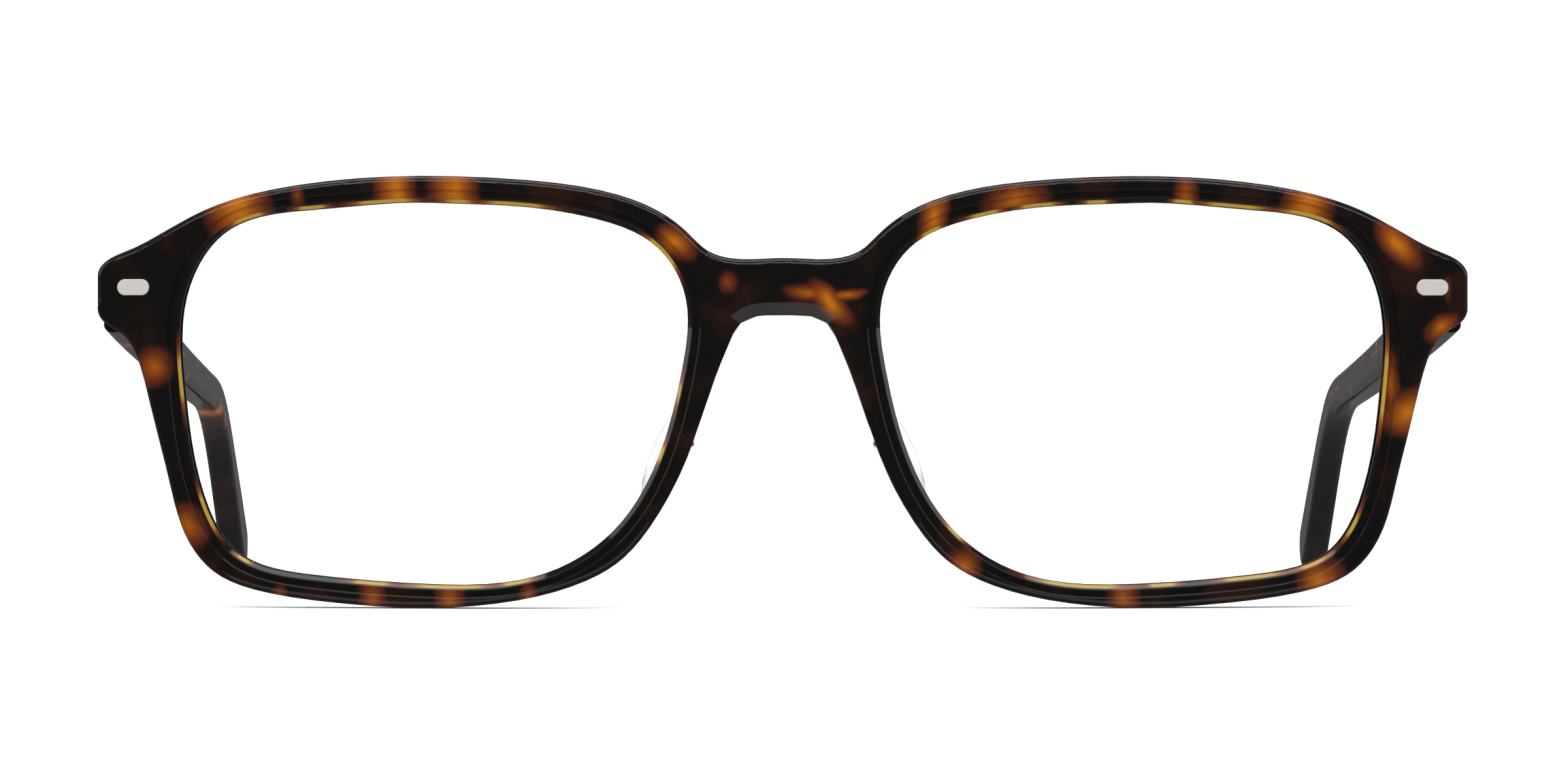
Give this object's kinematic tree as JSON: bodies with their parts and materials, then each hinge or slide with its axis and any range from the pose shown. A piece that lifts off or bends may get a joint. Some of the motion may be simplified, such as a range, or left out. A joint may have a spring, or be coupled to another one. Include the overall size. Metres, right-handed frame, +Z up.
{
  "type": "eyeglasses frame",
  "caption": "Full-rim dark tortoiseshell acetate eyeglasses frame with clear demo lenses and folding temples on barrel hinges.",
  "frame": {"origin": "middle of the footprint with both temples open, on the surface the frame stands on", "axes": "+X to the wearer's left, +Y back along the open temples, +Z up; the front faces -Y"},
  "size_m": [0.1416, 0.1444, 0.0443],
  "materials": {
    "tortoise_acetate": "polished, dark tortoiseshell with amber patches",
    "clear_lens": "clear, polished",
    "clear_acetate": "clear, polished",
    "satin_metal": "satin",
    "hinge_metal": "satin nickel silver",
    "screw_steel": "bright",
    "core_wire": "drawn wire"
  },
  "bodies": {
    "front": {"acetate_front": "tortoise_acetate", "demo_lens_left": "clear_lens", "demo_lens_right": "clear_lens", "nose_pad_left": "clear_acetate", "nose_pad_right": "clear_acetate", "corner_plaque_left": "satin_metal", "corner_plaque_right": "satin_metal", "front_hinge_leaf_left": "hinge_metal", "front_hinge_leaf_right": "hinge_metal", "hinge_screw_left": "screw_steel", "hinge_screw_right": "screw_steel"},
    "temple_left": {"acetate_temple_left": "tortoise_acetate", "temple_hinge_leaf_left": "hinge_metal", "wire_core_left": "core_wire"},
    "temple_right": {"acetate_temple_right": "tortoise_acetate", "temple_hinge_leaf_right": "hinge_metal", "wire_core_right": "core_wire"}
  },
  "joints": [
    {"name": "temple_left_fold", "type": "hinge", "parent": "front", "child": "temple_left", "pos_m": [0.0646, -0.06119, 0.031], "axis": [0, 0.0731, 0.9973], "range_deg": [0, 90.4]},
    {"name": "temple_right_fold", "type": "hinge", "parent": "front", "child": "temple_right", "pos_m": [-0.0646, -0.06119, 0.031], "axis": [0, -0.0731, -0.9973], "range_deg": [0, 83.7]}
  ]
}
